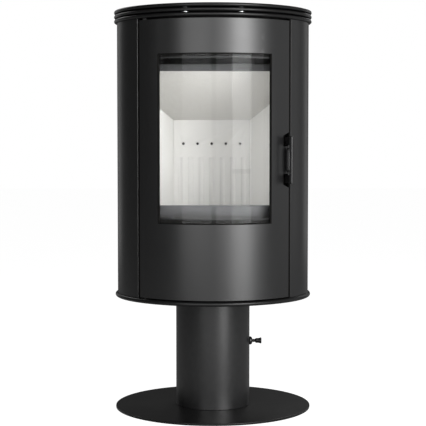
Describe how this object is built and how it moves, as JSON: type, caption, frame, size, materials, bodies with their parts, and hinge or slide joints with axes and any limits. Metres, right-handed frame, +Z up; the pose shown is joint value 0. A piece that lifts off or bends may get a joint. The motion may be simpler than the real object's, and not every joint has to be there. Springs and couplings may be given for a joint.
{
  "type": "wood burning stove",
  "caption": "Round freestanding wood burning stove on a pedestal: curved glazed door, lined firebox with baffle, ash pan, air control rod, stacked top plates and flue collar.",
  "frame": {"origin": "on the floor, on the vertical axis of the body and column", "axes": "+Z up, the door faces -Y, the door's hinge is on the -X side and its handle on the +X side"},
  "size_m": [0.5146, 0.5146, 1.0488],
  "materials": {
    "stove_paint": "satin heat-resistant black",
    "plate_paint": "satin heat-resistant black",
    "inner_steel": "matte heat-resistant",
    "firebrick": "matte cast",
    "baffle_board": "matte pressed board",
    "guard_steel": "plain sheet",
    "cast_iron": "raw cast",
    "zinc": "zinc plated",
    "seal_rope": "braided glass fibre",
    "handle_black": "satin black",
    "stove_glass": "clear ceramic glass"
  },
  "bodies": {
    "stove": {"base_plate": "plate_paint", "column_tube": "stove_paint", "column_foot_flange": "inner_steel", "column_head_flange": "inner_steel", "air_inlet_spigot": "stove_paint", "air_valve_plate": "inner_steel", "rod_rosette": "stove_paint", "casing_left": "stove_paint", "casing_right": "stove_paint", "casing_rear": "stove_paint", "flue_blanking_plate": "plate_paint", "bottom_plate": "plate_paint", "top_plate_lower": "plate_paint", "top_plate_middle": "plate_paint", "top_plate_upper": "plate_paint", "top_spacer_1": "zinc", "top_spacer_2": "zinc", "top_spacer_3": "zinc", "firebox_shell": "inner_steel", "firebox_roof": "inner_steel", "firebox_floor": "inner_steel", "firebox_front": "inner_steel", "secondary_air_duct": "inner_steel", "flue_collar": "inner_steel", "lining_back": "firebrick", "lining_corner_left": "firebrick", "lining_corner_right": "firebrick", "lining_side_left": "firebrick", "lining_side_right": "firebrick", "lining_floor": "firebrick", "baffle_lower": "baffle_board", "baffle_upper": "baffle_board", "grate": "cast_iron", "log_guard": "guard_steel", "ash_box": "inner_steel", "air_pipe": "inner_steel", "firebox_leg_left": "inner_steel", "firebox_leg_right": "inner_steel", "hinge_pin_top": "zinc", "hinge_pin_bottom": "zinc", "latch_keeper_top": "inner_steel", "latch_keeper_bottom": "inner_steel"},
    "door": {"door_panel": "stove_paint", "glass_seal": "seal_rope", "door_glass": "stove_glass", "glass_retainer": "inner_steel", "door_seal_frame": "inner_steel", "door_rope_seal": "seal_rope", "hinge_block_top": "inner_steel", "hinge_block_bottom": "inner_steel", "handle_barrel": "handle_black"},
    "handle": {"handle_bar": "handle_black", "handle_arm_top": "handle_black", "handle_arm_bottom": "handle_black", "handle_pin": "zinc"},
    "air_control": {"damper_plate": "inner_steel", "air_rod": "handle_black", "air_knob": "handle_black"},
    "ash_drawer": {"ash_pan": "guard_steel", "ash_pan_handle": "handle_black"}
  },
  "joints": [
    {"name": "door_swing", "type": "hinge", "parent": "stove", "child": "door", "pos_m": [-0.17235, -0.16702, 0.655], "axis": [0, 0, -1], "range_deg": [0, 110]},
    {"name": "handle_turn", "type": "hinge", "parent": "door", "child": "handle", "pos_m": [0.18487, -0.17853, 0.6535], "axis": [0, 0, 1], "range_deg": [0, 35]},
    {"name": "air_slide", "type": "slide", "parent": "stove", "child": "air_control", "axis": [1, 0, 0], "range_m": [0, 0.03]},
    {"name": "ash_pan_slide", "type": "slide", "parent": "stove", "child": "ash_drawer", "axis": [0, -1, 0], "range_m": [0, 0.181]}
  ],
  "couplings": [
    {"joint": "ash_pan_slide", "follows": "door_swing", "m_per_rad": 0.094}
  ]
}
